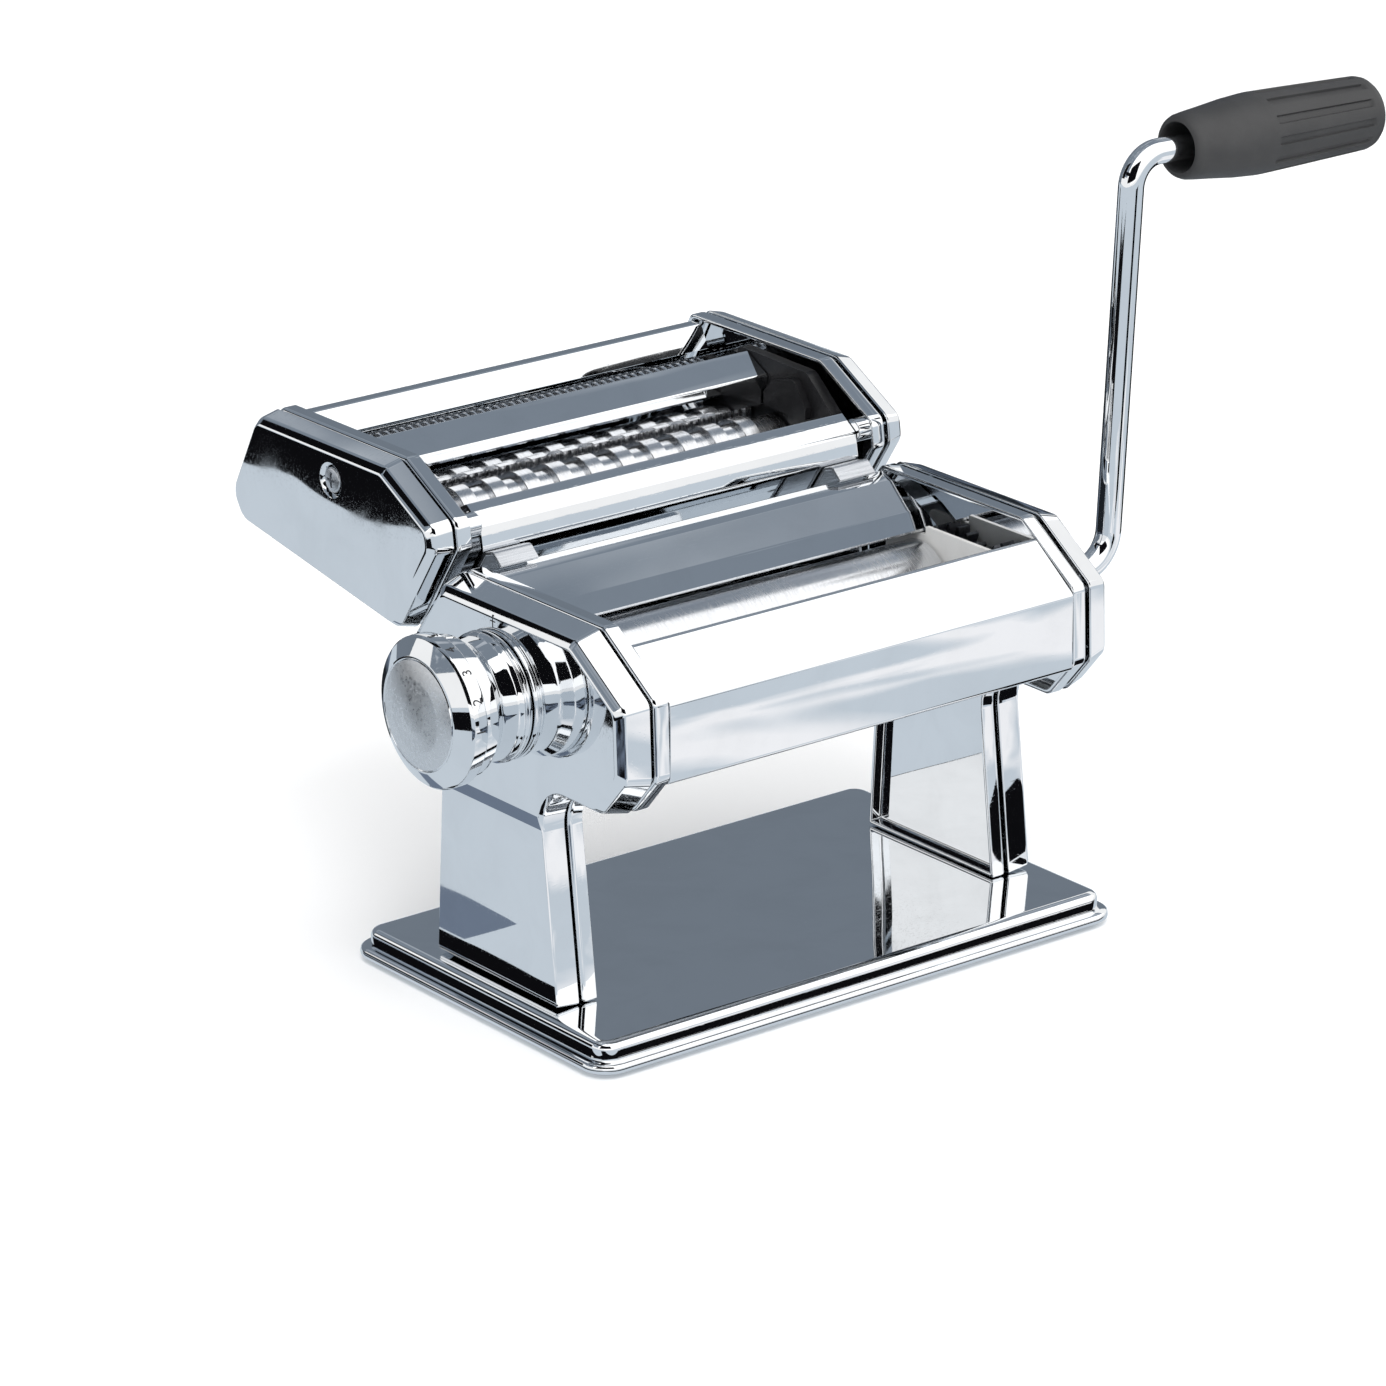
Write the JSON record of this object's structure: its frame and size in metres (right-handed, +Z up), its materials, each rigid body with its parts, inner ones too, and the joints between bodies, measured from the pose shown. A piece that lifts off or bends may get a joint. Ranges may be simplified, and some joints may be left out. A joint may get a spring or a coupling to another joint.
{
  "type": "pasta roller machine",
  "caption": "Hand-cranked pasta roller machine: chrome body on a tray base with a thickness knob, a crank with a black grip and a double cutter head hooked on behind.",
  "frame": {"origin": "centre of the footprint box of the whole machine, on the table under the feet", "axes": "+X along the rollers towards the crank, +Y away from the user towards the cutter head, +Z up"},
  "size_m": [0.375, 0.2156, 0.2624],
  "materials": {
    "chrome": "polished chrome sheet",
    "satin_steel": "satin",
    "roller_metal": "ground",
    "dark_steel": "oiled",
    "grip_plastic": "fine texture",
    "black_plastic": "moulded",
    "nylon": "natural nylon",
    "rubber": "moulded rubber"
  },
  "bodies": {
    "frame": {"base_plate": "chrome", "rubber_foot_front_left": "rubber", "rubber_foot_rear_left": "rubber", "rubber_foot_front_right": "rubber", "rubber_foot_rear_right": "rubber", "frame_plate_left": "satin_steel", "frame_plate_right": "satin_steel", "side_cover_left": "chrome", "side_cover_right": "chrome", "front_roller_bush_left": "nylon", "front_roller_bush_right": "nylon", "adjuster_bush_left": "nylon", "adjuster_bush_right": "nylon", "side_guard_left": "nylon", "side_guard_right": "nylon", "front_cover": "chrome", "rear_cover": "chrome", "tie_rod_front": "chrome", "tie_rod_rear": "chrome", "scraper_front": "satin_steel", "scraper_rear": "satin_steel", "index_pin": "satin_steel"},
    "crank_drive": {"crank_rod": "chrome", "roller_front": "roller_metal", "drive_gear": "dark_steel", "grip_washer": "satin_steel"},
    "grip": {"crank_grip": "grip_plastic"},
    "adjuster": {"adjuster_shaft": "satin_steel", "shaft_nut": "satin_steel", "knob_spring": "satin_steel"},
    "knob": {"knob_barrel": "chrome", "knob_cap": "chrome"},
    "roller_carrier": {"thrust_washer_left": "nylon", "thrust_washer_right": "nylon"},
    "rear_roller": {"roller_rear": "roller_metal", "driven_gear": "dark_steel"},
    "cutter_head": {"cutter_cover_left": "chrome", "cutter_cover_right": "chrome", "cutter_plate_left": "satin_steel", "cutter_plate_right": "satin_steel", "cutter_screw_left": "satin_steel", "cutter_screw_right": "satin_steel", "cutter_roof": "chrome", "cutter_rear_cover": "chrome", "cutter_front_cover": "chrome", "cutter_tie_rod": "chrome", "end_cheek_left": "black_plastic", "end_cheek_right": "black_plastic", "comb_wide": "black_plastic", "comb_fine": "black_plastic", "hook_left": "satin_steel", "hook_right": "satin_steel"},
    "wide_front": {"wide_roller_front": "roller_metal", "wide_gear_front": "dark_steel"},
    "wide_rear": {"wide_roller_rear": "roller_metal", "wide_gear_rear": "dark_steel"},
    "fine_front": {"fine_roller_front": "roller_metal", "fine_gear_front": "dark_steel"},
    "fine_rear": {"fine_roller_rear": "roller_metal", "fine_gear_rear": "dark_steel"}
  },
  "joints": [
    {"name": "crank_turn", "type": "hinge", "parent": "frame", "child": "crank_drive", "pos_m": [0.0441, -0.06919, 0.1114], "axis": [1, 0, 0], "continuous": true},
    {"name": "grip_spin", "type": "hinge", "parent": "crank_drive", "child": "grip", "pos_m": [0.10284, -0.06919, 0.24909], "axis": [0.9997, 0, -0.0227], "continuous": true},
    {"name": "knob_turn", "type": "hinge", "parent": "frame", "child": "adjuster", "pos_m": [-0.1559, -0.03989, 0.1096], "axis": [1, 0, 0], "range_deg": [-90, 90]},
    {"name": "knob_pull", "type": "slide", "parent": "adjuster", "child": "knob", "axis": [-1, 0, 0], "range_m": [0, 0.005], "stiffness_N_per_m": 1200, "springref_m": -0.006},
    {"name": "roller_gap", "type": "slide", "parent": "frame", "child": "roller_carrier", "axis": [0, 1, 0], "range_m": [-0.00127, 0.00127]},
    {"name": "rear_roller_spin", "type": "hinge", "parent": "roller_carrier", "child": "rear_roller", "pos_m": [-0.0559, -0.03989, 0.1104], "axis": [1, 0, 0], "continuous": true},
    {"name": "cutter_head_lift", "type": "slide", "parent": "frame", "child": "cutter_head", "axis": [0, -0.6, 0.8], "range_m": [0, 0.025]},
    {"name": "wide_front_spin", "type": "hinge", "parent": "cutter_head", "child": "wide_front", "pos_m": [-0.0559, 0.02105, 0.13538], "axis": [1, 0, 0], "continuous": true},
    {"name": "wide_rear_spin", "type": "hinge", "parent": "cutter_head", "child": "wide_rear", "pos_m": [-0.0559, 0.04017, 0.13862], "axis": [1, 0, 0], "continuous": true},
    {"name": "fine_front_spin", "type": "hinge", "parent": "cutter_head", "child": "fine_front", "pos_m": [-0.0559, 0.06105, 0.14538], "axis": [1, 0, 0], "continuous": true},
    {"name": "fine_rear_spin", "type": "hinge", "parent": "cutter_head", "child": "fine_rear", "pos_m": [-0.0559, 0.08017, 0.14862], "axis": [1, 0, 0], "continuous": true}
  ],
  "couplings": [
    {"joint": "roller_gap", "follows": "knob_turn", "m_per_rad": -0.00079577},
    {"joint": "rear_roller_spin", "follows": "crank_turn", "ratio": -1},
    {"joint": "wide_rear_spin", "follows": "wide_front_spin", "ratio": -1},
    {"joint": "fine_rear_spin", "follows": "fine_front_spin", "ratio": -1}
  ]
}
